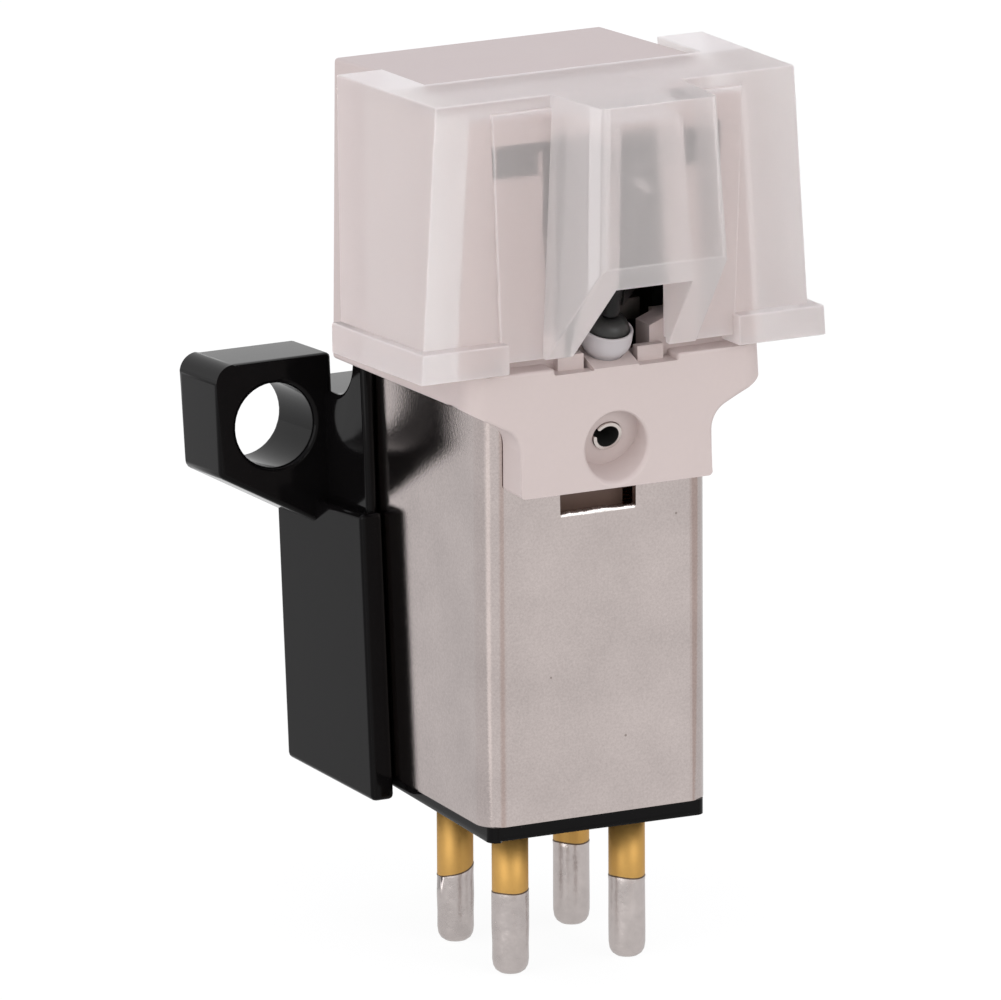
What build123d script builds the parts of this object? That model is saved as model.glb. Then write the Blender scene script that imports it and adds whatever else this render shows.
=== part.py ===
from build123d import *
import math
import os

# A turntable stylus cartridge standing on its terminal pins, in millimetres and degrees.
# It is drawn with X = 0 in the plane of symmetry, Y = 0 on the can's front face and Z = 0 at the pin tips,
# and written with the middle of the two mounting holes, on the mounting face, as the origin.

# Terminal pins and plate
pin_dia = 1.24
pin_reach = 5.2
pin_pitch_x = 4.26
pin_pitch_y = 4.13
pin_tip_round = 0.45
pin_tail_dia = 0.9
pin_tail = 0.5
pin_gap = 0.015
plate_thick = 0.52
plate_width = 7.84
plate_depth = 8.7
plate_round = 0.35
plug_height = 1.1
plug_gap = 0.03

# Shield can
can_width = 8.22
can_depth = 8.75
can_length = 14.88
can_wall = 0.3
can_round = 0.83
slot_width = 2.74
slot_foot = 10.25
slot_round = 0.06

# Coils, yokes and the block that carries them
core_height = 3.0
core_setback = 0.85
core_gap = 0.05
apron_width = 2.6
apron_thick = 0.25
apron_length = 3.0
yoke_thick = 0.8
yoke_offset = 1.55
yoke_width = 0.8
yoke_front = 2.1
yoke_from_back = 2.55
yoke_foot = 1.2
yoke_tip_rise = 2.1
yoke_tip_split = 2.2
yoke_tip_thick = 0.7
yoke_gap = 0.02
bobbin_wall = 0.3
bobbin_flange = 0.35
bobbin_flange_side = 2.6
bobbin_clear = 1.88
bobbin_gap = 0.03
coil_margin = 0.12
pole_gap = 0.15
pole_wall = 1.1
pole_setback = 0.25
lead_dia = 0.16
lead_knee = 0.7
lead_inset = 0.4

# Mounting bracket, leaning against the body
bracket_lean = 4.5
mount_behind_can = 5.19
mount_below_top = 3.84
mount_pitch = 12.7
mount_hole_dia = 2.81
ear_thick = 2.9
ear_beyond_hole = 0.67
ear_above_hole = 0.805
ear_below_hole = 0.115
ear_round = 0.65
ear_notch_width = 8.44
gusset_drop = 1.93
cheek_thick = 0.83
cheek_reach = 6.2
cheek_draft = 1.8
cheek_top = 2.64
rail_thick = 0.43
rail_top = 2.4
rail_reach = 5.9
rail_depth = 0.8
rail_scoop = 1.55
spine_top = 0.95
bracket_foot = 5.0
bracket_gap = 0.03
relief_width = 6.6
relief_depth = 3.0
relief_top = 3.2
relief_height = 7.2

# Stylus holder
tongue_thick = 1.41
tongue_width = 6.9
tongue_drop = 3.52
tongue_round = 0.15
holder_gap = 0.06
neck_rise = 2.07
neck_round = 0.9
wing_rise = 1.05
wing_half = 5.38
wing_lean = 2.7
wing_round = 0.7
ledge_rise = 1.1
block_draft = 3.2
block_behind_can = 0.77
block_back_lean = 5.0
block_rise = 8.98
block_top_lean = 4.5
block_wall = 0.35
seat_clearance = 0.13
chamber_half = 3.8
chamber_rear_wall = 1.22
chamber_roof = 0.98
notch_half = 2.2
notch_drop = 0.22
pad_half = 0.81
pad_rise = 0.05
groove_depth = 0.25
step_half = 0.97
step_reach = 0.34
step_rise = 0.5
step_gap = 0.1
cheek_block_half = 1.57
cheek_block_depth = 1.0
cheek_block_rise = 1.05
cheek_block_slope = 21.5
window_inner = 2.4
window_width = 1.55
window_height = 1.0
rib_width = 2.54
rib_depth = 0.7
rib_rise = 0.42
recess_dia = 2.2
recess_depth = 0.8
recess_rise = 1.33

# Stylus suspension, on an axis that leans forward
stylus_lean = 18.0
pivot_y = -0.6
pivot_rise = 0.82
collar_dia = 1.7
collar_bore = 1.5
collar_below = 0.95
collar_above = 0.42
collar_straight = 0.37
collar_round = 0.43
collar_draw = 0.23
suspension_gap = 0.02
damper_dome = 0.42
damper_gap = 0.04
damper_seat = 0.05
damper_play = 0.05
wire_dia = 0.14
wire_channel = 0.3
wire_free = 1.7
anchor_dia = 1.0
anchor_bore = 0.78
anchor_slit = 0.24
anchor_slit_turn = 20.0
anchor_proud = 0.08
anchor_past_wire = 0.22
cantilever_dia = 0.6
cantilever_bore = 0.36
cantilever_start = 0.95
cantilever_end = 6.5
magnet_side = 0.62
magnet_length = 1.15
magnet_start = 1.15
magnet_reach = 1.65
magnet_spread = 45.0
magnet_glue = 0.01
tip_dia = 0.3
tip_shank = 0.62
tip_point = 0.22
tip_inset = 0.35
tip_gap = 0.01

# Stylus guard
guard_front = 1.55
guard_gap = 0.1
guard_half = 6.43
guard_flare = 1.4
guard_draft = 3.5
guard_wall = 1.5
guard_front_wall = 0.7
guard_slot_half = 2.0
guard_slot_skin = 0.1
guard_rise = 0.84
guard_plate = 0.7
guard_plate_back = 2.43
guard_lean = 3.0
guard_back = 5.65
guard_back_lean = 8.0
guard_lift = 0.14
guard_skirt_lift = 0.28
panel_half_top = 4.5
panel_half_foot = 4.12
panel_proud = 0.14
flange_height = 1.0
flange_side = 0.3
flange_front = 0.45
nose_reach = 4.68
nose_half = 2.02
nose_root_half = 2.36
nose_draft = 2.6
nose_front_draft = 3.3
nose_wall = 0.95
nose_front_wall = 0.9
nose_rise = 3.9
nose_cut = 48.0

# Places that follow from the sizes above
can_foot = pin_reach + plate_thick
can_top = can_foot + can_length
can_mid = can_depth / 2
pin_top = can_foot + plug_height + pin_tail
core_foot = can_top - core_height
core_front = core_setback
yoke_rear = can_depth - yoke_from_back
yoke_low = pin_top + yoke_foot
bobbin_foot = yoke_low + bobbin_clear
bobbin_length = core_foot - bobbin_foot
bobbin_mid = yoke_front + yoke_width / 2
mount_depth = can_depth + mount_behind_can
mount_height = can_top - mount_below_top
ear_span = mount_pitch + mount_hole_dia + 2 * ear_beyond_hole
ear_above = mount_hole_dia / 2 + ear_above_hole
ear_below = mount_hole_dia / 2 + ear_below_hole
cheek_half = can_width / 2 + cheek_thick
rail_half = can_width / 2 + rail_thick
tongue_foot = can_top - tongue_drop
neck_height = tongue_foot + neck_rise
wing_foot = neck_height + wing_rise
ledge_height = wing_foot + ledge_rise
notch_floor = ledge_height - notch_drop
cheek_block_height = notch_floor + cheek_block_rise
rib_foot = tongue_foot + rib_rise
recess_height = tongue_foot + recess_rise
pivot_z = notch_floor + pivot_rise
block_back = can_depth + block_behind_can
block_back_height = can_top + block_rise
chamber_top = block_back_height - chamber_roof
chamber_back = block_back - chamber_rear_wall
window_outer = window_inner + window_width
window_foot = chamber_top - window_height
guard_top = block_back_height + guard_rise
guard_foot = ledge_height + guard_lift
nose_foot = guard_foot + nose_rise
block_front = -guard_front + panel_proud + guard_front_wall + guard_gap
block_inner = block_front + block_wall
seat_back = core_front - seat_clearance
pad_back = notch_floor + pad_rise + (seat_back + tongue_thick) * math.tan(math.radians(stylus_lean))
collar_stem_dia = collar_dia - 2 * collar_draw
cheek_block_fall = math.tan(math.radians(cheek_block_slope)) * (notch_half - cheek_block_half)
shelf_back = guard_plate_back + guard_gap
tall = 60.0


def front_prism(outline, y_front, y_back):
    """A prism of an (X, Z) outline between two depths."""
    face = make_face(Polyline(*outline, close=True))
    return Pos(0, y_back, 0) * extrude(Plane.XZ * face, amount=y_back - y_front)


def side_prism(outline, x_low, x_high):
    """A prism of a (Y, Z) outline between two widths."""
    face = make_face(Polyline(*outline, close=True))
    return Pos(x_low, 0, 0) * extrude(Plane.YZ * face, amount=x_high - x_low)


def plan_prism(outline, z_low, z_high):
    """A prism of an (X, Y) outline between two heights."""
    face = make_face(Polyline(*outline, close=True))
    return Pos(0, 0, z_low) * extrude(face, amount=z_high - z_low)


def block(x_low, x_high, y_low, y_high, z_low, z_high):
    """A box between the given limits."""
    box = Box(x_high - x_low, y_high - y_low, z_high - z_low)
    return Pos((x_low + x_high) / 2, (y_low + y_high) / 2, (z_low + z_high) / 2) * box


def upright(width, depth, radius, y_mid, z_low, z_high):
    """A rounded rectangle drawn up between two heights."""
    return Pos(0, y_mid, z_low) * extrude(RectangleRounded(width, depth, radius), amount=z_high - z_low)


def above(y, z, lean):
    """All the space above a plane through (y, z) that falls towards the back."""
    drop = math.tan(math.radians(lean))
    line = [(y - tall, z + tall * drop), (y + tall, z - tall * drop)]
    return side_prism(line + [(y + tall, z + 2 * tall), (y - tall, z + 2 * tall)], -tall, tall)


def below(y, z, lean):
    """All the space under a plane through (y, z) that falls towards the back."""
    drop = math.tan(math.radians(lean))
    line = [(y - tall, z + tall * drop), (y + tall, z - tall * drop)]
    return side_prism(line + [(y + tall, z - 2 * tall), (y - tall, z - 2 * tall)], -tall, tall)


def both(solid):
    """A solid and its mirror image across the plane of symmetry."""
    return solid + mirror(solid, about=Plane.YZ)


def along_stylus(solid):
    """Takes a solid drawn on Z to the suspension's axis, with the pivot at its origin."""
    return Pos(0, pivot_y, pivot_z) * Rot(stylus_lean, 0, 0) * solid


def rod(dia, low, high):
    """A cylinder on Z between two heights."""
    return Pos(0, 0, low) * Cylinder(dia / 2, high - low, align=(Align.CENTER, Align.CENTER, Align.MIN))


def turned(profile):
    """A solid turned about Z from a (radius, height) outline."""
    return revolve(Plane.XZ * make_face(Polyline(*profile, close=True)), Axis.Z)


def can_space(gap):
    """The can's outside, widened by a gap and long enough to cut with."""
    return upright(can_width + 2 * gap, can_depth + 2 * gap, can_round + gap, can_mid, -tall, can_top + gap)


def make_pin(x, y):
    flat = pin_dia / 2 - pin_tip_round
    turn = math.sqrt(0.5)
    profile = [
        (0, 0),
        (flat, 0),
        (flat + turn * pin_tip_round, (1 - turn) * pin_tip_round),
        (pin_dia / 2, pin_tip_round),
        (pin_dia / 2, pin_reach),
        (pin_tail_dia / 2, pin_reach),
        (pin_tail_dia / 2, pin_top),
        (0, pin_top),
    ]
    return Pos(x, y, 0) * turned(profile)


def make_terminal_plate():
    plate = upright(plate_width, plate_depth, plate_round, can_mid, pin_reach, can_foot)
    inside = 2 * (can_wall + plug_gap)
    plug_round = max(can_round - can_wall - plug_gap, 0.1)
    plate += upright(can_width - inside, can_depth - inside, plug_round, can_mid, can_foot, can_foot + plug_height)
    for x, y in pin_places:
        plate -= Pos(x, y, 0) * rod(pin_tail_dia + 2 * pin_gap, 0, tall)
    return plate


def make_can():
    can = upright(can_width, can_depth, can_round, can_mid, can_foot, can_top)
    inner_round = max(can_round - can_wall, 0.1)
    hollow = upright(can_width - 2 * can_wall, can_depth - 2 * can_wall, inner_round, can_mid, 0, tall)
    slot_low = can_foot + slot_foot
    slot = block(-slot_width / 2, slot_width / 2, -1, can_wall * 2, slot_low, tall)
    slot = fillet(slot.edges().filter_by(Axis.Y).group_by(Axis.Z)[0], slot_round)
    return can - hollow - slot


def make_yoke(side):
    low = yoke_low
    tip = core_front
    first = can_top + yoke_tip_rise
    second = first + yoke_tip_split
    outline = [
        (yoke_front, low),
        (yoke_rear + yoke_width, low),
        (yoke_rear + yoke_width, second + yoke_tip_thick),
        (tip, second + yoke_tip_thick),
        (tip, second),
        (yoke_rear, second),
        (yoke_rear, low + yoke_width),
        (yoke_front + yoke_width, low + yoke_width),
        (yoke_front + yoke_width, first),
        (tip, first),
        (tip, first - yoke_tip_thick),
        (yoke_front, first - yoke_tip_thick),
    ]
    middle = side * yoke_offset
    return side_prism(outline, middle - yoke_thick / 2, middle + yoke_thick / 2)


def make_core():
    half = can_width / 2 - can_wall - core_gap
    back = can_depth - can_wall - core_gap
    core = block(-half, half, core_front, back, core_foot, can_top)
    corner = max(can_round - can_wall, 0.1)
    core = fillet(core.edges().filter_by(Axis.Z).group_by(Axis.Y)[-1], corner)
    apron_half = apron_width / 2
    core += block(-apron_half, apron_half, core_front, core_front + apron_thick, core_foot - apron_length, can_top)
    for side in (-1, 1):
        for leg in (yoke_front, yoke_rear):
            x_low = side * yoke_offset - yoke_thick / 2 - yoke_gap
            x_high = side * yoke_offset + yoke_thick / 2 + yoke_gap
            core -= block(x_low, x_high, leg - yoke_gap, leg + yoke_width + yoke_gap, 0, tall)
    return core


def make_pole_nose():
    half = chamber_half - pole_gap
    front = core_front + pole_setback
    back = chamber_back - pole_gap
    top = chamber_top - pole_gap
    nose = block(-half, half, front, back, can_top, top)
    inner = half - pole_wall
    return nose - block(-inner, inner, 0, back - pole_wall / 2, 0, top - pole_wall / 2)


def make_bobbin(side):
    hole_x = yoke_thick + 2 * bobbin_gap
    hole_y = yoke_width + 2 * bobbin_gap
    tube = Box(hole_x + 2 * bobbin_wall, hole_y + 2 * bobbin_wall, bobbin_length)
    flange = Box(bobbin_flange_side, bobbin_flange_side, bobbin_flange)
    flange = fillet(flange.edges().filter_by(Axis.Z), 0.3)
    rise = (bobbin_length - bobbin_flange) / 2
    bobbin = tube + Pos(0, 0, rise) * flange + Pos(0, 0, -rise) * flange
    bobbin -= Box(hole_x, hole_y, tall)
    return Pos(side * yoke_offset, bobbin_mid, bobbin_foot + bobbin_length / 2) * bobbin


def make_coil(side):
    outer = bobbin_flange_side - 2 * coil_margin
    height = bobbin_length - 2 * (bobbin_flange + bobbin_gap)
    coil = Box(outer, outer, height)
    coil = fillet(coil.edges().filter_by(Axis.Z), 0.4)
    wall = 2 * (bobbin_gap + bobbin_wall + suspension_gap)
    coil -= Box(yoke_thick + wall, yoke_width + wall, tall)
    return Pos(side * yoke_offset, bobbin_mid, bobbin_foot + bobbin_length / 2) * coil


def make_lead(side, y_pin):
    x = side * pin_pitch_x / 2
    rear = y_pin > can_mid
    y_end = bobbin_mid + bobbin_flange_side / 2 - lead_inset if rear else y_pin
    if rear:
        knee = (x, y_pin, pin_top + lead_knee)
        elbow = (x, y_end, bobbin_foot - lead_knee)
        path = Polyline((x, y_pin, pin_top), knee, elbow, (x, y_end, bobbin_foot))
    else:
        path = Line((x, y_pin, pin_top), (x, y_pin, bobbin_foot))
    start = Plane((x, y_pin, pin_top)) * Circle(lead_dia / 2)
    return sweep(start, path=path, transition=Transition.RIGHT)


def make_bracket():
    low = -tall / 2
    wide = cheek_half + cheek_reach * math.tan(math.radians(cheek_draft))
    cheeks = [(-cheek_half, -cheek_reach), (cheek_half, -cheek_reach), (wide, 0), (-wide, 0)]
    body = plan_prism(cheeks, low, -cheek_top)
    body += block(-rail_half, rail_half, -rail_reach, 0, low, spine_top)
    scoop_back = -rail_reach + rail_depth + rail_scoop
    rail = block(-rail_half, rail_half, -rail_reach, scoop_back, 0, rail_top)
    scoop = Pos(0, scoop_back, spine_top + rail_scoop) * Rot(0, 90, 0) * Cylinder(rail_scoop, tall)
    body += rail - scoop
    ear = [
        (0, -gusset_drop - ear_below),
        (cheek_half, -gusset_drop - ear_below),
        (ear_span / 2, -ear_below),
        (ear_span / 2, ear_above),
        (ear_notch_width / 2, ear_above),
        (ear_notch_width / 2, spine_top),
        (0, spine_top),
    ]
    ears = front_prism(ear, -ear_thick, 0)
    corner = ears.edges().filter_by(Axis.Y).group_by(Axis.X)[-1]
    ears = fillet(corner.sort_by(Axis.Z)[-1], ear_round)
    body += both(ears)
    body -= both(Pos(mount_pitch / 2, 0, 0) * Rot(90, 0, 0) * Cylinder(mount_hole_dia / 2, tall))
    body -= block(-relief_width / 2, relief_width / 2, -relief_depth, 1, -relief_top - relief_height, -relief_top)
    bracket = Pos(0, mount_depth, mount_height) * Rot(-bracket_lean, 0, 0) * body
    bracket -= can_space(bracket_gap)
    room = 2 * bracket_gap
    corner = plate_round + bracket_gap
    bracket -= upright(plate_width + room, plate_depth + room, corner, can_mid, -tall, can_foot + bracket_gap)
    return bracket - block(-tall, tall, -tall, tall, -tall, bracket_foot)


def make_holder():
    lean = math.tan(math.radians(block_draft))
    top_half = wing_half - lean * (tall - wing_foot)
    low_half = wing_half + lean * wing_foot
    half = tongue_width / 2
    outline = [
        (-half, tongue_foot),
        (half, tongue_foot),
        (half, neck_height),
        (wing_half, wing_foot),
        (top_half, tall),
        (-top_half, tall),
        (-wing_half, wing_foot),
        (-half, neck_height),
    ]
    face = make_face(Polyline(*outline, close=True))
    face = fillet(face.vertices().group_by(Axis.Y)[0], tongue_round)
    neck = [v for v in face.vertices() if abs(v.Y - neck_height) < 0.001]
    face = fillet(neck, neck_round)
    plate = Pos(0, -holder_gap, 0) * extrude(Plane.XZ * face, amount=tongue_thick - holder_gap)
    edges = [e for e in plate.edges() if e.center().Y < 0.01 - tongue_thick]
    edges = [e for e in edges if wing_foot < e.center().Z < tall - 1]
    holder = fillet(edges, wing_round)
    rear = [(-low_half, 0), (low_half, 0), (top_half, tall), (-top_half, tall)]
    rear = front_prism(rear, -holder_gap, block_back)
    rear -= below(-tongue_thick, wing_foot, wing_lean)
    holder += rear
    slide = math.tan(math.radians(block_back_lean)) * tall
    behind = [
        (block_back + slide, block_back_height + tall),
        (block_back - slide, block_back_height - tall),
        (block_back + tall, block_back_height - tall),
        (block_back + tall, block_back_height + tall),
    ]
    holder -= side_prism(behind, -tall, tall)
    holder -= block(-tall, tall, -tall, block_front, ledge_height, 2 * tall)
    holder -= above(block_back, block_back_height, block_top_lean)
    shelf = above(-guard_front, guard_top - guard_plate - guard_gap, guard_lean)
    holder -= shelf & block(-tall, tall, -tall, shelf_back, 0, 2 * tall)
    holder -= can_space(holder_gap)
    holder -= block(-chamber_half, chamber_half, seat_back, chamber_back, can_top, chamber_top)
    seat_top = cheek_block_height + cheek_block_fall
    holder -= block(-chamber_half, chamber_half, block_inner, chamber_back, seat_top, chamber_top)
    rib_half = rib_width / 2
    holder += block(-rib_half, rib_half, -holder_gap, rib_depth, rib_foot, can_top + holder_gap)
    holder -= block(-notch_half, notch_half, -tall, chamber_back, notch_floor, chamber_top)
    groove_floor = notch_floor - groove_depth
    holder -= both(block(pad_half, step_half, block_front - step_reach, chamber_back, groove_floor, chamber_top))
    pad = [
        (-tongue_thick, notch_floor),
        (seat_back, notch_floor),
        (seat_back, pad_back),
        (-tongue_thick, notch_floor + pad_rise),
    ]
    holder += side_prism(pad, -pad_half, pad_half)
    side_block = [
        (cheek_block_half, notch_floor),
        (notch_half, notch_floor),
        (notch_half, seat_top),
        (cheek_block_half, cheek_block_height),
    ]
    holder += both(front_prism(side_block, block_front, block_front + cheek_block_depth))
    step_side = guard_slot_half - step_gap
    step_top = notch_floor + step_rise
    holder += both(block(step_half, step_side, block_front - step_reach, block_front, notch_floor, step_top))
    holder -= both(block(window_inner, window_outer, -tall, chamber_back, window_foot, chamber_top))
    holder -= on_anchor(rod(recess_dia, -2 * recess_depth, 0))
    holder -= along_stylus(rod(collar_stem_dia + 2 * suspension_gap, -collar_below, tall))
    holder -= along_stylus(rod(wire_channel, -anchor_drop - anchor_dia / 2, 0))
    return holder - on_anchor(rod(anchor_dia + 2 * suspension_gap, -1, anchor_length + suspension_gap))


def on_anchor(solid):
    """Takes a solid drawn on Z to the recess floor, on an axis that crosses the suspension's axis squarely."""
    return Pos(0, anchor_y, anchor_z) * Rot(stylus_lean - 90, 0, 0) * solid


def make_anchor():
    tube = rod(anchor_dia, -anchor_proud, anchor_length)
    tube -= rod(anchor_bore, -1, anchor_length + 1)
    slit = block(-anchor_dia, 0, -anchor_slit / 2, anchor_slit / 2, -1, anchor_length + 1)
    tube -= Rot(0, 0, anchor_slit_turn) * slit
    return on_anchor(tube) - along_stylus(rod(wire_channel, -anchor_drop, 0))


def make_collar():
    """The suspension's white cup: a bowl on a stem, hollow for the damper."""
    hole = wire_channel / 2
    floor = -damper_seat - damper_play
    waist = collar_above - collar_straight
    bowl = []
    for turn in (0, 30, 60, 90):
        lean = math.radians(turn)
        bowl.append((collar_stem_dia / 2 + collar_draw * math.cos(lean), waist - collar_round * math.sin(lean)))
    profile = [
        (hole, floor),
        (collar_bore / 2, floor),
        (collar_bore / 2, collar_above),
        (collar_dia / 2, collar_above),
        *bowl,
        (collar_stem_dia / 2, -collar_below),
        (hole, -collar_below),
    ]
    return along_stylus(turned(profile))


def make_damper():
    half = collar_bore / 2 - damper_gap
    hole = wire_channel / 2
    profile = [
        (hole, -damper_seat),
        (half, -damper_seat),
        (half, collar_above),
        (half - 0.15 * damper_dome, collar_above + 0.5 * damper_dome),
        (half - 0.55 * damper_dome, collar_above + 0.85 * damper_dome),
        (half - 1.1 * damper_dome, collar_above + damper_dome),
        (hole, collar_above + damper_dome),
    ]
    return along_stylus(turned(profile))


def make_wire():
    return along_stylus(rod(wire_dia, -anchor_drop, wire_free))


def make_cantilever():
    tube = rod(cantilever_dia, cantilever_start, cantilever_end)
    tube -= rod(cantilever_bore, -1, tall)
    shank = Pos(0, 0, cantilever_end - tip_inset) * Rot(90, 0, 0) * Cylinder(tip_dia / 2 + tip_gap, tall)
    return along_stylus(tube - shank)


def make_magnet(side):
    root = magnet_side / 2 / math.tan(math.radians(magnet_spread)) + magnet_glue
    bar = block(-magnet_side / 2, magnet_side / 2, root, magnet_reach, magnet_start, magnet_start + magnet_length)
    bar = Rot(0, 0, -side * magnet_spread) * bar
    return along_stylus(bar - rod(cantilever_dia + 2 * magnet_glue, -1, tall))


def make_tip():
    length = cantilever_dia + tip_shank
    tip = Pos(0, 0, -cantilever_dia / 2) * rod(tip_dia, 0, length)
    rise = length - cantilever_dia / 2 + tip_point / 2
    tip += Pos(0, 0, rise) * Cone(tip_dia / 2, 0.03, tip_point)
    return along_stylus(Pos(0, 0, cantilever_end - tip_inset) * Rot(90, 0, 0) * tip)


def guard_outline(half, z_low):
    """The guard's front outline at a given half width at its top, widened by its draft."""
    grow = math.tan(math.radians(guard_draft))
    wide = half + grow * (guard_top - z_low)
    narrow = half + grow * (guard_top - tall)
    return [(-wide, z_low), (wide, z_low), (narrow, tall), (-narrow, tall)]


def guard_block(half, y_front):
    """A drafted block between a front depth and the guard's back that also widens towards the back."""
    grow = math.tan(math.radians(guard_flare)) * (guard_back - y_front)
    first = make_face(Polyline(*guard_outline(half, guard_foot - 2), close=True))
    last = make_face(Polyline(*guard_outline(half + grow, guard_foot - 2), close=True))
    return loft([Pos(0, y_front, 0) * (Plane.XZ * first), Pos(0, guard_back, 0) * (Plane.XZ * last)])


def nose_section(z, side_wall, y_front, y_root):
    """The nose's plan at a height, its side walls drawn in by side_wall."""
    grow = math.tan(math.radians(nose_draft)) * (guard_top - z)
    push = math.tan(math.radians(nose_front_draft)) * (guard_top - z)
    tip = nose_half + grow - side_wall
    root = nose_root_half + grow - side_wall
    outline = [(-root, y_root), (-tip, y_front - push), (tip, y_front - push), (root, y_root)]
    return Pos(0, 0, z) * make_face(Polyline(*outline, close=True))


def make_nose(side_wall, y_front, y_root):
    low = nose_section(guard_foot - 2, side_wall, y_front, y_root)
    high = nose_section(guard_top + 2, side_wall, y_front, y_root)
    return loft([low, high])


def make_guard():
    front = -guard_front
    shell = guard_block(guard_half, front + panel_proud)
    panel = [
        (-panel_half_foot, guard_foot - 2),
        (panel_half_foot, guard_foot - 2),
        (panel_half_top, tall / 2),
        (-panel_half_top, tall / 2),
    ]
    shell += front_prism(panel, front, front + 2 * panel_proud)
    inner = front_prism(guard_outline(guard_half - guard_wall, 0), block_front - guard_gap, tall)
    lid = above(front, guard_top - guard_plate, guard_lean)
    open_back = block(-tall, tall, guard_plate_back, tall, 0, tall)
    shell -= inner - (lid - open_back)
    nose = make_nose(0, -nose_reach, front + panel_proud)
    drop = math.tan(math.radians(nose_cut))
    y_low = -nose_reach - math.tan(math.radians(nose_front_draft)) * (guard_top - nose_foot)
    cut = [
        (y_low - 2, nose_foot + 2 * drop),
        (front, nose_foot - drop * (front - y_low)),
        (front, 0),
        (y_low - 2, 0),
    ]
    nose -= side_prism(cut, -tall, tall)
    flange = guard_block(guard_half + flange_side, front - flange_front)
    flange -= above(front, guard_foot + flange_height, guard_lean)
    flange -= block(-panel_half_foot, panel_half_foot, -tall, tall, 0, tall)
    shell += flange - inner
    shell += nose
    hollow = make_nose(nose_wall, -nose_reach + nose_front_wall, block_front)
    slot_front = front + guard_slot_skin
    hollow += block(-guard_slot_half, guard_slot_half, slot_front, block_front, guard_foot - 2, tall)
    shell -= hollow - lid
    shell -= above(front, guard_top, guard_lean)
    shell -= below(front, guard_foot, guard_lean)
    lift = block(-panel_half_foot, panel_half_foot, -tall, tall, 0, guard_foot + guard_skirt_lift)
    shell -= lift
    back_lean = math.tan(math.radians(guard_back_lean))
    behind = [
        (guard_back + back_lean * tall, guard_top + tall),
        (guard_back - back_lean * tall, guard_top - tall),
        (guard_back + tall, guard_top - tall),
        (guard_back + tall, guard_top + tall),
    ]
    return shell - side_prism(behind, -tall, tall)


def save(name, solid):
    export_step(Pos(0, -mount_depth, -mount_height) * solid, "parts/" + name + ".step")


slope = math.radians(stylus_lean)
anchor_y = recess_depth * math.cos(slope) - tongue_thick
anchor_z = recess_depth * math.sin(slope) + recess_height
anchor_drop = (pivot_z - anchor_z) * math.cos(slope) - (pivot_y - anchor_y) * math.sin(slope)
anchor_length = (pivot_z - anchor_z) * math.sin(slope) + (pivot_y - anchor_y) * math.cos(slope) + anchor_past_wire
front_pins = can_mid - pin_pitch_y / 2
rear_pins = can_mid + pin_pitch_y / 2
pin_places = [(x * pin_pitch_x / 2, y) for x in (-1, 1) for y in (front_pins, rear_pins)]

os.makedirs("parts", exist_ok=True)
save("shield_can", make_can())
save("terminal_plate", make_terminal_plate())
save("core_block", make_core())
save("pole_nose", make_pole_nose())
save("mounting_bracket", make_bracket())
save("stylus_holder", make_holder())
save("stylus_guard", make_guard())
save("anchor_tube", make_anchor())
save("suspension_collar", make_collar())
save("damper", make_damper())
save("tension_wire", make_wire())
save("cantilever", make_cantilever())
save("stylus_tip", make_tip())
for word, side in (("left", -1), ("right", 1)):
    save("yoke_" + word, make_yoke(side))
    save("bobbin_" + word, make_bobbin(side))
    save("coil_" + word, make_coil(side))
    save("magnet_" + word, make_magnet(side))
    for place, y in (("front", front_pins), ("rear", rear_pins)):
        save("pin_" + place + "_" + word, make_pin(side * pin_pitch_x / 2, y))
        save("lead_" + place + "_" + word, make_lead(side, y))
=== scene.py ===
import math
import random

import bmesh
import bpy
from mathutils import Matrix, Vector


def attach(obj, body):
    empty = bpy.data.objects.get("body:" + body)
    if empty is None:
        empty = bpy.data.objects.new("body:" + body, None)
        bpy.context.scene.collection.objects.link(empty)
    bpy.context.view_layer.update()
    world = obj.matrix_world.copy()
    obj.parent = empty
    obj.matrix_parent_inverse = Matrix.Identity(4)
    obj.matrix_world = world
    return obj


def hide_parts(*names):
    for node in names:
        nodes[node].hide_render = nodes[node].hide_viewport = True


# A turntable stylus cartridge standing on its terminal pins.
# The frame is in metres. Places and sizes of pieces are written in millimetres, and at() takes them there.

mm = 0.001
can_front_y = -13.94 * mm
pin_tip_z = -16.76 * mm

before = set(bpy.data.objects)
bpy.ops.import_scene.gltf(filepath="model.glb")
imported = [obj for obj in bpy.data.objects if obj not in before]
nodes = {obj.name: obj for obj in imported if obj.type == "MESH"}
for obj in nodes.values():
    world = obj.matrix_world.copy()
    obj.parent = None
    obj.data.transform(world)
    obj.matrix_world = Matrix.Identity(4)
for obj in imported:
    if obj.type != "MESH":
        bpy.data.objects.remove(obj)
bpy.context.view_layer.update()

# The suspension's axis leans forward by this angle and passes through the pivot.
stylus_lean = math.radians(18)
pivot_y = -0.6
pivot_z = 21.9


def at(x, y, z):
    """A point measured in millimetres from the plane of symmetry, the can's front face and the pin tips."""
    return Vector((x * mm, y * mm + can_front_y, z * mm + pin_tip_z))


def measured(point):
    """The place of a point in those same millimetres."""
    return (point - at(0, 0, 0)) / mm


def placed(name, data):
    """Puts a new object into the scene."""
    made = bpy.data.objects.new(name, data)
    bpy.context.scene.collection.objects.link(made)
    return made


# Camera

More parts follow.
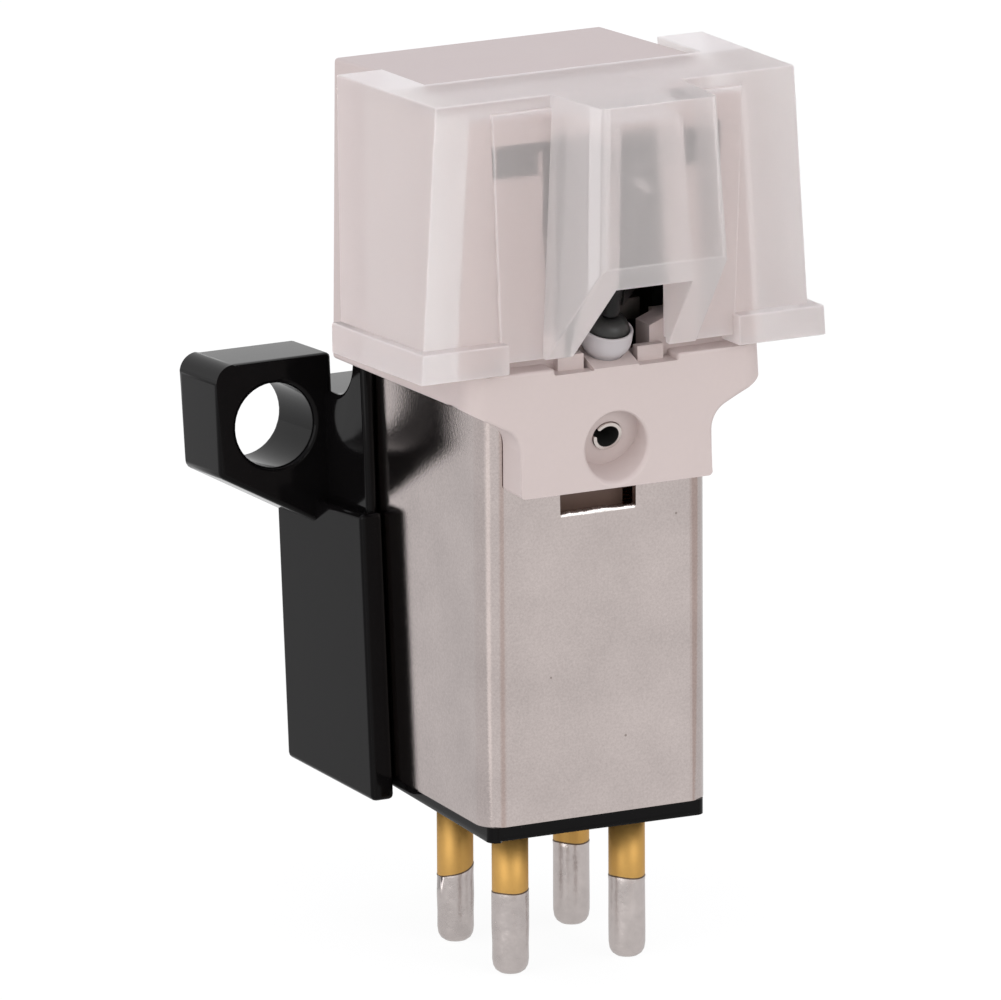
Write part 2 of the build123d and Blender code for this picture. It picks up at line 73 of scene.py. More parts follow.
def aim_camera():
    """Sets the camera at the photograph's viewing angle."""
    image_width = 1001
    focal_pixels = 15001.8
    sensor_width = 36
    distance = 489.11
    side_shift = 1.856
    middle = at(0, 3, 15.607)
    turn = math.radians(-25.904)
    rise = math.radians(15.121)
    roll = math.radians(-0.337)
    back = Vector((math.sin(turn) * math.cos(rise), -math.cos(turn) * math.cos(rise), math.sin(rise)))
    level = Vector((math.cos(turn), math.sin(turn), 0))
    upward = back.cross(level)
    side = math.cos(roll) * level + math.sin(roll) * upward
    head = math.cos(roll) * upward - math.sin(roll) * level
    target = middle - side * side_shift * mm
    data = bpy.data.cameras.new("camera")
    data.sensor_width = sensor_width
    data.lens = sensor_width * focal_pixels / image_width
    data.clip_start = 0.01
    data.clip_end = 10
    camera = placed("camera", data)
    turned = Matrix((side, head, back)).transposed().to_4x4()
    camera.matrix_world = Matrix.Translation(target + back * distance * mm) @ turned
    bpy.context.scene.camera = camera


# Node helpers

class Wiring:
    """Adds nodes to a tree and joins them."""

    def __init__(self, tree):
        self.tree = tree

    def node(self, kind, values=(), **settings):
        """A new node; a value that is another node's socket is joined, any other is set."""
        made = self.tree.nodes.new(kind)
        for key, value in settings.items():
            setattr(made, key, value)
        for key, value in dict(values).items():
            if isinstance(value, bpy.types.NodeSocket):
                self.tree.links.new(value, made.inputs[key])
            else:
                made.inputs[key].default_value = value
        return made

    def math(self, operation, first, second=0.0, clamp=False):
        made = self.node("ShaderNodeMath", {0: first, 1: second}, operation=operation, use_clamp=clamp)
        return made.outputs[0]

    def scale(self, vector, factor):
        made = self.node("ShaderNodeVectorMath", {0: vector, "Scale": factor}, operation="SCALE")
        return made.outputs[0]

    def remap(self, value, low, high, to_low, to_high):
        sockets = {"Value": value, "From Min": low, "From Max": high, "To Min": to_low, "To Max": to_high}
        return self.node("ShaderNodeMapRange", sockets, interpolation_type="SMOOTHSTEP").outputs["Result"]

    def blend(self, share, first, second):
        """Mixes two colours. A Mix node takes the share at 0, the colours at 6 and 7, and gives one at 2."""
        return self.node("ShaderNodeMix", {0: share, 6: first, 7: second}, data_type="RGBA").outputs[2]

    def join(self, source, node, name):
        self.tree.links.new(source, node.inputs[name])


def emptied(block):
    """Clears the node tree of a material or world for wiring."""
    block.use_nodes = True
    block.node_tree.nodes.clear()
    return Wiring(block.node_tree)


def rgb(red, green, blue):
    """A shader colour from the red, green and blue that it shows, 0 to 255."""
    def linear(level):
        level = level / 255
        return level / 12.92 if level <= 0.04045 else ((level + 0.055) / 1.055) ** 2.4
    return (linear(red), linear(green), linear(blue), 1)


def open_group(name, inputs, outputs):
    """Starts a shader node group with named inputs and outputs."""
    group = bpy.data.node_groups.new(name, "ShaderNodeTree")
    kinds = {"value": "NodeSocketFloat", "colour": "NodeSocketColor", "vector": "NodeSocketVector"}
    for label, kind, value in inputs:
        socket = group.interface.new_socket(name=label, in_out="INPUT", socket_type=kinds[kind])
        if value is not None:
            socket.default_value = value
    for label, kind in outputs:
        group.interface.new_socket(name=label, in_out="OUTPUT", socket_type=kinds[kind])
    wiring = Wiring(group)
    return wiring, wiring.node("NodeGroupInput").outputs, wiring.node("NodeGroupOutput")


def build_fine_grain():
    """Colour, roughness and height that vary finely over a surface, with a broader drift under them."""
    broad_per_mm = 0.45
    noise_middle = 0.5
    fine_part = 1.2
    broad_part = 0.8
    inputs = [
        ("Place", "vector", None),
        ("Colour", "colour", (0.5, 0.5, 0.5, 1)),
        ("Grains per mm", "value", 8.0),
        ("Colour change", "value", 0.05),
        ("Roughness", "value", 0.4),
        ("Roughness change", "value", 0.1),
    ]
    outputs = [("Colour", "colour"), ("Roughness", "value"), ("Height", "value")]
    wiring, given, result = open_group("fine_grain", inputs, outputs)
    place = wiring.scale(given["Place"], 1 / mm)

    def noise(per_mm, detail, roughness):
        sockets = {"Vector": place, "Scale": per_mm, "Detail": detail, "Roughness": roughness}
        return wiring.node("ShaderNodeTexNoise", sockets).outputs["Fac"]

    fine = noise(given["Grains per mm"], detail=3.0, roughness=0.6)
    broad = noise(broad_per_mm, detail=2.0, roughness=0.5)
    fine_swing = wiring.math("MULTIPLY", wiring.math("SUBTRACT", fine, noise_middle), fine_part)
    broad_swing = wiring.math("MULTIPLY", wiring.math("SUBTRACT", broad, noise_middle), broad_part)
    swing = wiring.math("ADD", fine_swing, broad_swing)
    level = wiring.math("ADD", wiring.math("MULTIPLY", swing, given["Colour change"]), 1.0)
    rough_swing = wiring.math("MULTIPLY", swing, given["Roughness change"])
    wiring.join(wiring.scale(given["Colour"], level), result, "Colour")
    wiring.join(wiring.math("ADD", rough_swing, given["Roughness"], clamp=True), result, "Roughness")
    wiring.join(fine, result, "Height")
    return wiring.tree


def build_specks():
    """A mask of small scattered specks."""
    inputs = [
        ("Place", "vector", None),
        ("Cells per mm", "value", 1.2),
        ("Share", "value", 0.15),
        ("Size", "value", 0.06),
    ]
    wiring, given, result = open_group("specks", inputs, [("Mask", "value")])
    place = wiring.scale(given["Place"], 1 / mm)
    cells = wiring.node("ShaderNodeTexVoronoi", {"Vector": place, "Scale": given["Cells per mm"]})
    parts = wiring.node("ShaderNodeSeparateColor", {"Color": cells.outputs["Color"]})
    chosen = wiring.math("LESS_THAN", parts.outputs[0], given["Share"])
    reach = wiring.math("MULTIPLY", parts.outputs[1], given["Size"])
    inside = wiring.math("LESS_THAN", cells.outputs["Distance"], reach)
    wiring.join(wiring.math("MULTIPLY", chosen, inside), result, "Mask")
    return wiring.tree


fine_grain = build_fine_grain()
specks = build_specks()


class Finish:
    """A material with a Principled shader and a fine grain, whose depth is in millimetres.

    Plain values go to the shader's own sockets.
    """

    def __init__(self, name, colour, per_mm, colour_change, roughness, roughness_change, depth, **plain):
        self.material = bpy.data.materials.new(name)
        self.wiring = emptied(self.material)
        self.shader = self.wiring.node("ShaderNodeBsdfPrincipled")
        out = self.wiring.node("ShaderNodeOutputMaterial")
        self.wiring.join(self.shader.outputs["BSDF"], out, "Surface")
        self.place = self.wiring.node("ShaderNodeTexCoord").outputs["Object"]
        for key, value in plain.items():
            self.shader.inputs[key.replace("_", " ")].default_value = value
        grain = {
            "Colour": colour,
            "Grains per mm": per_mm,
            "Colour change": colour_change,
            "Roughness": roughness,
            "Roughness change": roughness_change,
        }
        got = self.effect(fine_grain, grain)
        self.colour = got["Colour"]
        self.wiring.join(self.colour, self.shader, "Base Color")
        self.wiring.join(got["Roughness"], self.shader, "Roughness")
        if depth:
            self.bump(got["Height"], depth)

    def effect(self, group, values):
        """Places a shared effect in the material and gives its outputs."""
        return self.wiring.node("ShaderNodeGroup", {"Place": self.place, **values}, node_tree=group).outputs

    def bump(self, height, depth):
        """Raises the surface by up to depth, in millimetres."""
        bump = self.wiring.node("ShaderNodeBump", {"Height": height, "Distance": depth * mm, "Strength": 1.0})
        self.wiring.join(bump.outputs["Normal"], self.shader, "Normal")

    def speckle(self, colour, per_mm, share, size):
        """Scatters specks of another colour: cells per mm, the share that hold one, and its largest size."""
        mask = self.effect(specks, {"Cells per mm": per_mm, "Share": share, "Size": size})["Mask"]
        self.wiring.join(self.wiring.blend(mask, self.colour, colour), self.shader, "Base Color")


def satin_nickel():
    finish = Finish(
        "satin_nickel", rgb(190, 179, 176), Metallic=1.0,
        per_mm=13.0, colour_change=0.34, roughness=0.09, roughness_change=0.06, depth=0.0026,
    )
    finish.speckle(rgb(150, 139, 135), per_mm=1.1, share=0.12, size=0.07)
    return finish.material


def gloss_black():
    return Finish(
        "gloss_black", (0.004, 0.0036, 0.0038, 1), IOR=1.18,
        per_mm=3.0, colour_change=0.3, roughness=0.10, roughness_change=0.08, depth=0.0006,
    ).material


def matt_black():
    return Finish(
        "matt_black", (0.012, 0.011, 0.011, 1), IOR=1.23,
        per_mm=7.0, colour_change=0.3, roughness=0.34, roughness_change=0.15, depth=0.003,
    ).material


def warm_white():
    finish = Finish(
        "warm_white", rgb(203, 189, 186), IOR=1.4,
        per_mm=5.0, colour_change=0.03, roughness=0.46, roughness_change=0.12, depth=0.0025,
    )
    finish.speckle(rgb(150, 132, 124), per_mm=0.45, share=0.10, size=0.09)
    return finish.material


def frosted(name, clearness, ior, per_mm):
    """Clear plastic with a frosted skin; clearness is the share of light that goes through it."""
    return Finish(
        name, rgb(252, 247, 246), IOR=ior, Transmission_Weight=clearness,
        per_mm=per_mm, colour_change=0.008, roughness=0.38, roughness_change=0.08, depth=0,
    ).material


def collar_white():
    return Finish(
        "collar_white", rgb(188, 182, 184), IOR=1.45,
        per_mm=6.0, colour_change=0.03, roughness=0.38, roughness_change=0.1, depth=0.002,
    ).material


def gold_plate():
    return Finish(
        "gold_plate", rgb(203, 159, 88), Metallic=0.75,
        per_mm=6.0, colour_change=0.12, roughness=0.5, roughness_change=0.12, depth=0.003,
    ).material


def dipped_tin():
    return Finish(
        "dipped_tin", rgb(200, 191, 188), Metallic=1.0,
        per_mm=2.2, colour_change=0.30, roughness=0.30, roughness_change=0.16, depth=0.03,
    ).material


def dip_line():
    return Finish(
        "dip_line", rgb(96, 78, 60), Metallic=0.6,
        per_mm=8.0, colour_change=0.3, roughness=0.5, roughness_change=0.2, depth=0.004,
    ).material


def brown_resin():
    return Finish(
        "brown_resin", rgb(126, 102, 91), IOR=1.45,
        per_mm=6.0, colour_change=0.10, roughness=0.45, roughness_change=0.15, depth=0.004,
    ).material


# A lighter nickel than the can's: painted highlight on the slot's lip.
def lip_highlight_nickel():
    return Finish(
        "lip_highlight_nickel", rgb(226, 221, 218), Metallic=1.0,
        per_mm=9.0, colour_change=0.45, roughness=0.30, roughness_change=0.15, depth=0.012,
    ).material


def yoke_steel():
    return Finish(
        "yoke_steel", rgb(88, 85, 82), Metallic=1.0,
        per_mm=10.0, colour_change=0.12, roughness=0.35, roughness_change=0.15, depth=0.003,
    ).material


def copper(name, depth):
    return Finish(
        name, rgb(190, 112, 68), Metallic=1.0,
        per_mm=12.0, colour_change=0.12, roughness=0.35, roughness_change=0.15, depth=depth,
    )


def copper_wire():
    return copper("copper_wire", depth=0.003).material


def copper_winding():
    """Copper with the turns of the winding as relief."""
    turn_scale = 2500.0
    finish = copper("copper_winding", depth=0)
    sockets = {"Vector": finish.place, "Scale": turn_scale}
    turns = finish.wiring.node("ShaderNodeTexWave", sockets, bands_direction="Z")
    finish.bump(turns.outputs["Fac"], depth=0.03)
    return finish.material


def soft_rubber():
    return Finish(
        "soft_rubber", (0.022, 0.022, 0.021, 1), IOR=1.45,
        per_mm=9.0, colour_change=0.25, roughness=0.38, roughness_change=0.15, depth=0.004,
    ).material


def black_tube():
    return Finish(
        "black_tube", (0.008, 0.008, 0.008, 1), IOR=1.3,
        per_mm=14.0, colour_change=0.25, roughness=0.4, roughness_change=0.15, depth=0.002,
    ).material


def magnet_grey():
    return Finish(
        "magnet_grey", rgb(58, 56, 55), Metallic=1.0,
        per_mm=16.0, colour_change=0.2, roughness=0.42, roughness_change=0.15, depth=0.004,
    ).material


def bright_tube():
    return Finish(
        "bright_tube", rgb(214, 208, 204), Metallic=1.0,
        per_mm=10.0, colour_change=0.08, roughness=0.2, roughness_change=0.08, depth=0.001,
    ).material


def tip_diamond():
    return Finish(
        "tip_diamond", rgb(206, 204, 202), IOR=1.9, Transmission_Weight=0.7,
        per_mm=20.0, colour_change=0.05, roughness=0.12, roughness_change=0.08, depth=0.001,
    ).material


# Shapes

def paint(piece, material):
    """Gives a piece its one material, in a single slot."""
    if piece.data.materials:
        piece.data.materials.clear()
    piece.data.materials.append(material)


def new_piece(name, work, body, stands_for=None):
    """Turns a finished bmesh into a smooth piece that rides with a body."""
    mesh = bpy.data.meshes.new(name)
    for face in work.faces:
        face.smooth = True
    work.to_mesh(mesh)
    work.free()
    piece = placed(name, mesh)
    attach(piece, body)
    if stands_for:
        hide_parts(stands_for)
    return piece


def outward_edges(work, keep, shortest, smallest):
    """The sharp outward edges that keep picks by the place of their middle.

    Edges under the shortest length, beside a face under the smallest area or beside a face that an earlier
    pass gave to another material slot are left out.
    """
    sharp = math.radians(24)
    chosen = []
    for edge in work.edges:
        if len(edge.link_faces) != 2 or edge.calc_face_angle_signed() < sharp:
            continue
        area = min(face.calc_area() for face in edge.link_faces)
        if edge.calc_length() < shortest * mm or area < smallest * mm * mm:
            continue
        middle = measured((edge.verts[0].co + edge.verts[1].co) / 2)
        untouched = max(face.material_index for face in edge.link_faces) == 0
        if untouched and (keep is None or keep(*middle)):
            chosen.append(edge)
    return chosen


def eased(
    name, node, body, width, steps, keep=None, shortest=0.15, smallest=0.12, edge_slot=-1,
    bold=None, bold_width=0.0,
):
    """A copy of a solid with its outward edges rounded over, which stands for it.

    Keep picks the edges, and bold picks those that are rounded first, by their own width and however small.
    """
    same_point = 0.0005
    same_plane = math.radians(0.6)
    soft_crease = math.radians(32)
    bold_shortest = 0.02
    work = bmesh.new()
    work.from_mesh(nodes[node].data)
    bmesh.ops.remove_doubles(work, verts=work.verts, dist=same_point * mm)
    bmesh.ops.dissolve_limit(work, angle_limit=same_plane, verts=work.verts, edges=work.edges)
    work.normal_update()
    passes = ((bold, bold_width, bold_shortest, 0.0), (keep, width, shortest, smallest))
    for picked, size, length, area in passes:
        if not size:
            continue
        edges = outward_edges(work, picked, length, area)
        bmesh.ops.bevel(
            work, geom=edges, offset=size * mm, offset_type="OFFSET", segments=steps, profile=0.5,
            affect="EDGES", clamp_overlap=False, loop_slide=True, material=edge_slot,
        )
        work.normal_update()
    for edge in work.edges:
        edge.smooth = len(edge.link_faces) == 2 and edge.calc_face_angle() < soft_crease
    piece = new_piece(name, work, body, node)
    piece.modifiers.new("even_shading", "WEIGHTED_NORMAL").keep_sharp = True
    return piece


# Places that say which edges are eased, in millimetres

def holder_outside(x, y, z):
    """True on the holder's outer edges, away from the can's seat and the suspension's holes."""
    can_seat = -0.1 < y < 9 and abs(x) < 4.2 and z < 28.7
    anchor_recess = abs(x) < 1.3 and 17.2 < z < 20
    collar_notch = abs(x) < 2.1 and 20.6 < z < 22.5
    return not (can_seat or anchor_recess or collar_notch)


def recess_rim(x, y, z):
    """True on the rim of the round recess in the holder's tongue."""
    return y < -1.4 and abs(x) < 1.2 and 17.2 < z < 19.7


def nose_corner(x, y, z):
    """True on the front corners of the guard's nose."""
    return y < -4 and abs(x) > 1.5 and z > 24.5


def lathe(work, rings, place, steps):
    """Joins rings of (radius, height) around an axis.

    Place turns a ring's number, its radius, an angle and its height into a point.
    """
    angles = [2 * math.pi * step / steps for step in range(steps)]
    loops = []
    for index, (radius, height) in enumerate(rings):
        loops.append([work.verts.new(place(index, radius, angle, height)) for angle in angles])
    following = [(step, (step + 1) % steps) for step in range(steps)]
    bands = []
    for low, high in zip(loops, loops[1:]):
        band = []
        for step, after in following:
            band.append(work.faces.new((low[step], low[after], high[after], high[step])))
        bands.append(band)
    return loops, bands


def arc(middle, radii, first, last, steps):
    """Points on an ellipse, from one angle to another in degrees."""
    angles = [math.radians(first + (last - first) * step / steps) for step in range(steps + 1)]
    return [(middle[0] + radii[0] * math.cos(a), middle[1] + radii[1] * math.sin(a)) for a in angles]


def dipped_pin(node, x, y, dip, slant, finishes):
    """A plated pin whose lower end has been dipped in tin up to a slanting line, dip above its tip."""
    steps = 40
    waver = 0.02
    thinning = 0.016
    round_end = [(0.02, 0.0), (0.22, 0.012), (0.38, 0.06), (0.5, 0.15), (0.575, 0.29), (0.61, 0.5)]
    tinned = [(0.618, 1.0), (0.618, 1.6), (0.62, dip - 0.2)]
    dip_edge = [(0.616, dip - 0.03), (0.6, dip + 0.02), (0.602, dip + 0.05)]
    plated = [(0.602, 4.74), (0.45, 4.74), (0.45, 7.2)]
    uneven_from = len(round_end) - 1
    edge = len(round_end + tinned)
    plated_from = edge + len(dip_edge)

    def place(index, radius, angle, height):
        lift = 0
        swell = 1
        if edge <= index < plated_from:
            lift = slant * math.cos(angle) + waver * math.sin(3 * angle + dip)
        if uneven_from <= index < edge:
            swell = 1 - thinning * (1 + math.sin(2 * angle + 5 * height + x))
        across = swell * radius * math.cos(angle)
        deep = swell * radius * math.sin(angle)
        return at(x + across, y + deep, height + lift)

    work = bmesh.new()
    loops, bands = lathe(work, round_end + tinned + dip_edge + plated, place, steps)
    bands.insert(0, [work.faces.new(list(reversed(loops[0])))])
    work.faces.new(loops[-1])
    gold_at, tin_at, line_at = range(len(finishes))
    for index, band in enumerate(bands):
        for face in band:
            if index <= edge:
                face.material_index = tin_at
            elif index == edge + 1:
                face.material_index = line_at
            else:
                face.material_index = gold_at
    pin = new_piece("plated_" + node, work, "cartridge_body", node)
    for material in finishes:
        pin.data.materials.append(material)


def turned_on_stylus(name, node, body, rings, material):
    """A round piece of the suspension, turned about the leaning axis of the stylus."""
    steps = 48
    same_point = 0.0002

    def place(index, radius, angle, height):
        across = radius * math.cos(angle)
        deep = radius * math.sin(angle)
        y = pivot_y + deep * math.cos(stylus_lean) - height * math.sin(stylus_lean)
        z = pivot_z + deep * math.sin(stylus_lean) + height * math.cos(stylus_lean)
        return at(across, y, z)

    work = bmesh.new()
    lathe(work, rings + rings[:1], place, steps)
    bmesh.ops.remove_doubles(work, verts=work.verts, dist=same_point * mm)
    bmesh.ops.recalc_face_normals(work, faces=work.faces)
    paint(new_piece(name, work, body, node), material)


def suspension_cup(material):
    """The white collar: its stem, its bowl with a rounded lip, and the seat of the damper inside."""
    stem = [(0.15, -0.1), (0.15, -0.95), (0.62, -0.95), (0.62, -0.4)]
    bowl = arc((0.62, 0.05), (0.23, 0.43), first=-86, last=0, steps=9)
    lip = arc((0.80, 0.36), (0.05, 0.06), first=0, last=90, steps=4)
    lip += arc((0.78, 0.39), (0.03, 0.03), first=90, last=180, steps=3)
    seat = [(0.75, -0.08), (0.74, -0.1)]
    rings = stem + bowl + lip + seat
    turned_on_stylus("suspension_cup", "suspension_collar", "stylus_unit", rings, material)


def rubber_damper(material):
    """The rubber in the collar, with a domed top round the cantilever."""
    foot = [(0.15, -0.05), (0.69, -0.05), (0.71, -0.03), (0.71, 0.38)]
    dome = arc((0.27, 0.40), (0.44, 0.44), first=0, last=90, steps=10) + [(0.15, 0.84)]
    turned_on_stylus("rubber_damper", "damper", "stylus_seat", foot + dome, material)


def anchor_sleeve(outside, inside):
    """The slit tube in the recess, with a dark material on its bore's faces as painted shade."""
    tongue_front = -1.41
    recess_height = 18.41
    recess_depth = 0.8
    bore_reach = 0.41
    inward = -0.5
    bore_shade_slot = 1
    sleeve = eased("anchor_sleeve", "anchor_tube", "stylus_unit", width=0.045, steps=3, smallest=0.01)
    paint(sleeve, outside)
    sleeve.data.materials.append(inside)
    axis = Vector((0, math.cos(stylus_lean), math.sin(stylus_lean)))
    recess_floor = at(0, recess_depth * axis.y + tongue_front, recess_height + recess_depth * axis.z)
    for face in sleeve.data.polygons:
        out = face.center - recess_floor
        out -= out.dot(axis) * axis
        if out.length < bore_reach * mm and face.normal.dot(out) < inward * out.length:
            face.material_index = bore_shade_slot


def slot_burr(material):
    """The rolled lip along the lower edge of the can's slot, in a lighter nickel that paints its highlight.
    """
    count = 60
    left = -1.35
    length = 2.7
    slot_z = 15.97
    least_rise = 0.03
    full_rise = 0.05
    raggedness = 0.03
    seed = 4
    wander = random.Random(seed)
    work = bmesh.new()
    rows = []
    for index in range(count + 1):
        share = index / count
        crown = full_rise * math.sin(math.pi * share) ** 0.6
        ripple = 0.7 + 0.3 * math.sin(13 * share + 1)
        rise = least_rise + crown * ripple + raggedness * wander.random()
        front = [(-0.02, -0.06), (-0.015, 0.5 * rise), (0.04, rise)]
        back = [(0.15, 0.95 * rise), (0.25, 0.4 * rise), (0.28, -0.05)]
        x = left + length * share
        rows.append([work.verts.new(at(x, deep, slot_z + up)) for deep, up in front + back])
    for first, second in zip(rows, rows[1:]):
        for index in range(len(first) - 1):
            work.faces.new((first[index], second[index], second[index + 1], first[index + 1]))
    work.faces.new(rows[0])
    work.faces.new(list(reversed(rows[-1])))
    bmesh.ops.recalc_face_normals(work, faces=work.faces)
    paint(new_piece("slot_burr", work, "cartridge_body"), material)


# The guard's material slots: its clear skin, then its eased edges and a strip, whose whiter materials are
# painted highlight
guard_skin = 0
guard_highlight_edge = 1
guard_highlight_strip = 2


def paint_guard_highlights(guard):
    """Marks the faces of the guard that get painted highlight from whiter, less clear materials.

    The nose's walls and cut foot take the eased edges' material. The front of its sides and a strip along the
    plate's rear edge are whiter still: painted highlight for the light seen through the guard there.
    """
    facing = 0.9
    foot_forward = -0.6
    foot_down = -0.5
    nose_inside = at(0, -3.97, 27.12)
    nose_tilt = Vector((0, 1, -0.06))
    plate_highlight_strip = at(0, 2.1, 30.2)
    plate_tilt = Vector((0, 1, 0))
    nose_half_width = 2.7
    nose_rear_y = -0.9
    plate_z = 30
    work = bmesh.new()
    work.from_mesh(guard.data)

    def nose_wall(face):
        place = measured(face.calc_center_median())
        return abs(face.normal.x) > facing and abs(place.x) < nose_half_width and place.y < nose_rear_y

    def nose_foot(face):
        return face.normal.y < foot_forward and face.normal.z < foot_down

    def plate_top(face):
        return face.normal.z > facing and measured(face.calc_center_median()).z > plate_z

    for pick, point, tilt in ((nose_wall, nose_inside, nose_tilt), (plate_top, plate_highlight_strip, plate_tilt)):
        faces = [face for face in work.faces if face.material_index == guard_skin and pick(face)]
        edges = {edge for face in faces for edge in face.edges}
        corners = {vert for face in faces for vert in face.verts}
        bmesh.ops.bisect_plane(work, geom=[*faces, *edges, *corners], plane_co=point, plane_no=tilt)
    work.normal_update()
    for face in work.faces:
        if face.material_index != guard_skin:
            continue
        place = face.calc_center_median()
        if nose_wall(face):
            outer = place.x * face.normal.x > 0
            in_front = (place - nose_inside).dot(nose_tilt) < 0
            face.material_index = guard_highlight_strip if outer and in_front else guard_highlight_edge
        elif nose_foot(face):
            face.material_index = guard_highlight_edge
        elif plate_top(face) and place.y > plate_highlight_strip.y:
            face.material_index = guard_highlight_strip
    work.to_mesh(guard.data)
    work.free()


def guard_blister(material):
    """A small bubble left in the left wall of the guard."""
    radius = 0.3
    flatness = 0.35
    lowness = 0.8
    middle = at(-6.86, 4.24, 23.2)
    work = bmesh.new()
    bmesh.ops.create_uvsphere(work, u_segments=24, v_segments=12, radius=radius * mm)
    for vert in work.verts:
        vert.co = Vector((flatness * vert.co.x, vert.co.y, lowness * vert.co.z)) + middle
    paint(new_piece("guard_blister", work, "guard"), material)


# Stage and light

def lay_floor():
    """A pale floor that looks white, and keeps the shadow of the part."""
    half_width = 0.5
    front_share = -0.05
    pale = (0.9, 0.9, 0.9, 1)
    white_share = 0.88
    white_level = 1.05
    # The floor is dimmer where reflections show it: painted shade for the floor round the part.
    dimmed_in_gloss = 0.24
    mesh = bpy.data.meshes.new("floor")
    work = bmesh.new()
    corners = ((-1, front_share), (1, front_share), (1, 1), (-1, 1))
    work.faces.new([work.verts.new((x * half_width, y * half_width, pin_tip_z)) for x, y in corners])
    work.to_mesh(mesh)
    work.free()
    floor = placed("floor", mesh)
    material = bpy.data.materials.new("pale_floor")
    wiring = emptied(material)
    path = wiring.node("ShaderNodeLightPath").outputs
    seen = wiring.math("ADD", path["Is Camera Ray"], path["Is Glossy Ray"])
    seen = wiring.math("ADD", seen, path["Is Transmission Ray"], clamp=True)
    share = wiring.math("MULTIPLY", seen, white_share)
    dimming = wiring.math("MULTIPLY", path["Is Glossy Ray"], dimmed_in_gloss)
    glow = wiring.math("SUBTRACT", white_level, dimming)
    lit = wiring.node("ShaderNodeBsdfDiffuse", {"Color": pale})
    white = wiring.node("ShaderNodeEmission", {"Color": (1, 1, 1, 1), "Strength": glow})
    mixed = wiring.node("ShaderNodeMixShader", {0: share, 1: lit.outputs[0], 2: white.outputs[0]})
    out = wiring.node("ShaderNodeOutputMaterial")
    wiring.join(mixed.outputs[0], out, "Surface")
    mesh.materials.append(material)


def light_world():
    """A white room, bluer above, with shaded and bright places near the floor that only gloss shows."""
    room_level = 0.78
    extra_in_gloss = 0.20
    low_from = -0.1
    low_to = 0.15
    high_from = 0.5
    high_to = 0.9
    ceiling = (1.05, 1.04, 1.14, 1)
    # For each place: its bearing, the half widths where its fading starts and ends, and its colour
    right_shade = (86, 36, 58, (0.74, 0.66, 0.63, 1))
    front_shade = (0, 4, 18, (0.84, 0.77, 0.74, 1))
    left_shine = (-62, 4, 14, (1.3, 1.28, 1.27, 1))
    world = bpy.data.worlds.new("studio")
    bpy.context.scene.world = world
    wiring = emptied(world)
    path = wiring.node("ShaderNodeLightPath").outputs
    direction = wiring.node("ShaderNodeTexCoord").outputs["Generated"]
    split = wiring.node("ShaderNodeSeparateXYZ", {"Vector": direction}).outputs
    bearing = wiring.math("ARCTAN2", split["X"], wiring.math("MULTIPLY", split["Y"], -1.0))

    def near(middle, inner, outer):
        """A mask around a bearing, in degrees from straight ahead towards the right."""
        away = wiring.math("ABSOLUTE", wiring.math("SUBTRACT", bearing, math.radians(middle)))
        return wiring.remap(away, math.radians(inner), math.radians(outer), 1.0, 0.0)

    seen = wiring.math("ADD", path["Is Glossy Ray"], path["Is Transmission Ray"], clamp=True)
    low = wiring.remap(split["Z"], low_from, low_to, 1.0, 0.0)
    low = wiring.math("MULTIPLY", low, path["Is Glossy Ray"])
    room = (1, 1, 1, 1)
    for middle, inner, outer, colour in (right_shade, front_shade, left_shine):
        room = wiring.blend(wiring.math("MULTIPLY", near(middle, inner, outer), low), room, colour)
    camera = path["Is Camera Ray"]
    indirect = wiring.math("SUBTRACT", 1.0, camera)
    above = wiring.math("MULTIPLY", wiring.remap(split["Z"], high_from, high_to, 0.0, 1.0), indirect)
    room = wiring.blend(above, room, ceiling)
    level = wiring.math("ADD", room_level, wiring.math("MULTIPLY", seen, extra_in_gloss))
    level = wiring.math("ADD", wiring.math("MULTIPLY", level, indirect), camera)
    back = wiring.node("ShaderNodeBackground", {"Color": room, "Strength": level})
    out = wiring.node("ShaderNodeOutputWorld")
    wiring.join(back.outputs[0], out, "Surface")


def hang_lamp(name, away, width, height, power):
    """A soft box that faces the middle of the part from some way off; lengths in metres, power in watts."""
    aim = at(0, 4, 16)
    place = aim + Vector(away)
    data = bpy.data.lights.new(name, "AREA")
    data.shape = "RECTANGLE"
    data.size = width
    data.size_y = height
    data.energy = power
    lamp = placed(name, data)
    lamp.location = place
    lamp.rotation_euler = (aim - place).to_track_quat("-Z", "Y").to_euler()
    lamp.visible_camera = False


bpy.context.scene.view_settings.view_transform = "Standard"
aim_camera()
lay_floor()
light_world()
hang_lamp("left_softbox", away=(-0.42, -0.20, 0.16), width=0.36, height=0.36, power=0.7)
hang_lamp("front_softbox", away=(0.16, -0.45, 0.20), width=0.34, height=0.24, power=0.6)

# Finishes that more than one piece has

black = gloss_black()
dark = matt_black()
steel = yoke_steel()
wire = copper_wire()
winding = copper_winding()
grey = magnet_grey()
rubber = soft_rubber()
clear = frosted("frosted_clear", clearness=0.78, ior=1.2, per_mm=0.6)
pin_finishes = (gold_plate(), dipped_tin(), dip_line())

# Mouldings and the can

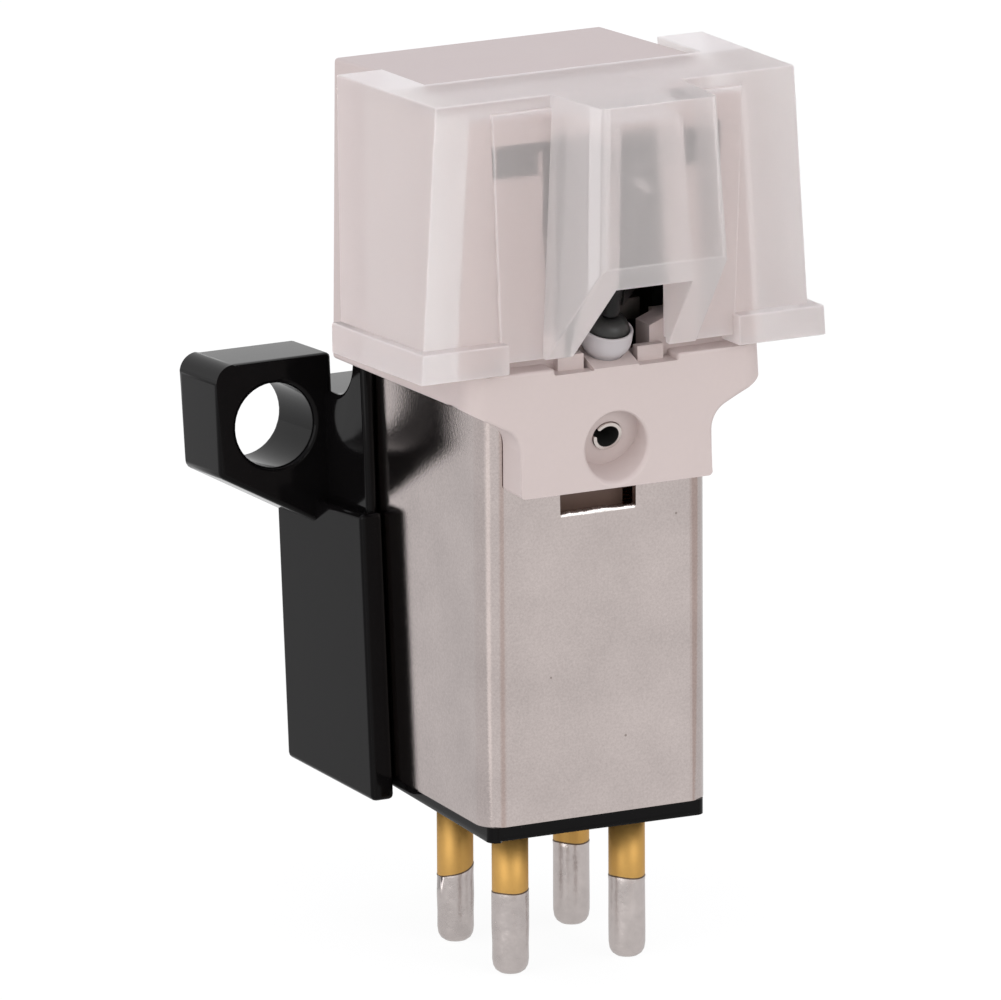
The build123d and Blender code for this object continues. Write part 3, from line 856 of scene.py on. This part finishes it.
holder = eased(
    "holder_moulding", "stylus_holder", "stylus_unit", width=0.12, steps=3, keep=holder_outside, shortest=0.1,
    bold=recess_rim, bold_width=0.16,
)
paint(holder, warm_white())

guard = eased(
    "guard_moulding", "stylus_guard", "guard", width=0.06, steps=3, edge_slot=guard_highlight_edge,
    bold=nose_corner, bold_width=0.22,
)
paint(guard, clear)
# The eased edges and the strip take whiter, less clear plastic: painted highlight along the guard's edges and
# rear.
guard.data.materials.append(frosted("frosted_highlight_edge", clearness=0.64, ior=1.25, per_mm=2.0))
guard.data.materials.append(frosted("frosted_highlight_strip", clearness=0.42, ior=1.25, per_mm=1.0))
paint_guard_highlights(guard)
guard_blister(clear)

bracket = eased("bracket_moulding", "mounting_bracket", "cartridge_body", width=0.18, steps=3)
paint(bracket, black)

can = eased("can_shell", "shield_can", "cartridge_body", width=0.06, steps=2)
paint(can, satin_nickel())
slot_burr(lip_highlight_nickel())

plate = eased("plate_moulding", "terminal_plate", "cartridge_body", width=0.2, steps=4)
paint(plate, black)

# Pins: how far up the tin goes, and how much its line slants

pin_x = 2.13
pin_front_y = 2.31
pin_rear_y = 6.44
dipped_pin("pin_front_left", -pin_x, pin_front_y, dip=2.85, slant=0.02, finishes=pin_finishes)
dipped_pin("pin_rear_left", -pin_x, pin_rear_y, dip=2.5, slant=0.2, finishes=pin_finishes)
dipped_pin("pin_rear_right", pin_x, pin_rear_y, dip=2.9, slant=-0.02, finishes=pin_finishes)
dipped_pin("pin_front_right", pin_x, pin_front_y, dip=2.8, slant=-0.03, finishes=pin_finishes)

# Inner parts, whose solids keep their shape

for side in ("left", "right"):
    paint(nodes[f"lead_front_{side}"], wire)
    paint(nodes[f"lead_rear_{side}"], wire)
    paint(nodes[f"yoke_{side}"], steel)
    paint(nodes[f"bobbin_{side}"], dark)
    paint(nodes[f"coil_{side}"], winding)
    paint(nodes[f"magnet_{side}"], grey)
paint(nodes["core_block"], brown_resin())
# The pole nose is matt black: painted shade for the dark interior of the holder round it.
paint(nodes["pole_nose"], dark)

# Suspension and stylus

# The sleeve's bore takes the dark rubber material, as painted shade inside the tube.
anchor_sleeve(bright_tube(), rubber)
suspension_cup(collar_white())
rubber_damper(rubber)
paint(nodes["tension_wire"], steel)
paint(nodes["cantilever"], black_tube())
paint(nodes["stylus_tip"], tip_diamond())
